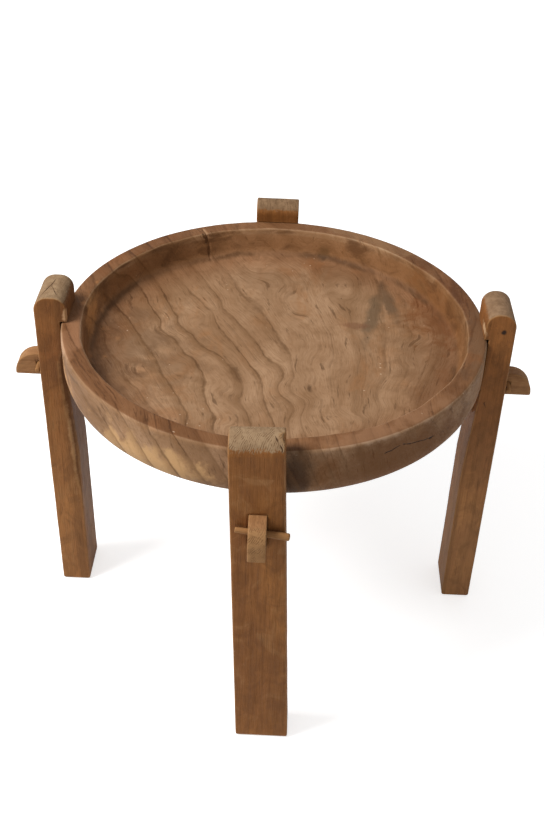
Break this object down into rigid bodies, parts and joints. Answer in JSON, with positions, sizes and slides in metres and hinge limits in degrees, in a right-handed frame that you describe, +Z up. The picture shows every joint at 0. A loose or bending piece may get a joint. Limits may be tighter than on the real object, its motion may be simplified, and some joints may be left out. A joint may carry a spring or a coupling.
{
  "type": "carved wooden bowl",
  "caption": "Round shallow wooden bowl held at its rim by hooked legs that are pegged to crossed rails under it.",
  "frame": {"origin": "on the floor, under the centre of the bowl", "axes": "+Z up; +X along the cross rail to the right leg; +Y level across it, towards the back leg, whose rail stands 6 mm to the -X side"},
  "size_m": [0.7536, 0.7316, 0.542],
  "materials": {
    "bowl_wood": "dry matt hardwood, mid brown with dark flowing grain, unvarnished",
    "leg_wood": "dry matt hardwood, warm brown, pale grey worn end grain",
    "rail_wood": "dry matt hardwood, saw marks left on the tenon tips",
    "peg_wood": "whittled hardwood"
  },
  "bodies": {
    "stand": {"bowl": "bowl_wood", "leg_front": "leg_wood", "leg_back": "leg_wood", "leg_left": "leg_wood", "leg_right": "leg_wood", "rail_cross": "rail_wood", "rail_long": "rail_wood"},
    "peg_right": {"peg_right": "peg_wood"},
    "peg_back": {"peg_back": "peg_wood"},
    "peg_left": {"peg_left": "peg_wood"},
    "peg_front": {"peg_front": "peg_wood"}
  },
  "joints": [
    {"name": "peg_right_pull", "type": "slide", "parent": "stand", "child": "peg_right", "axis": [0, 0.9962, 0.0872], "range_m": [0, 0.045]},
    {"name": "peg_back_pull", "type": "slide", "parent": "stand", "child": "peg_back", "axis": [-0.9914, 0, -0.1305], "range_m": [0, 0.045]},
    {"name": "peg_left_pull", "type": "slide", "parent": "stand", "child": "peg_left", "axis": [0, 0.9962, 0.0872], "range_m": [0, 0.045]},
    {"name": "peg_front_pull", "type": "slide", "parent": "stand", "child": "peg_front", "axis": [0.9914, 0, -0.1305], "range_m": [0, 0.045]}
  ]
}
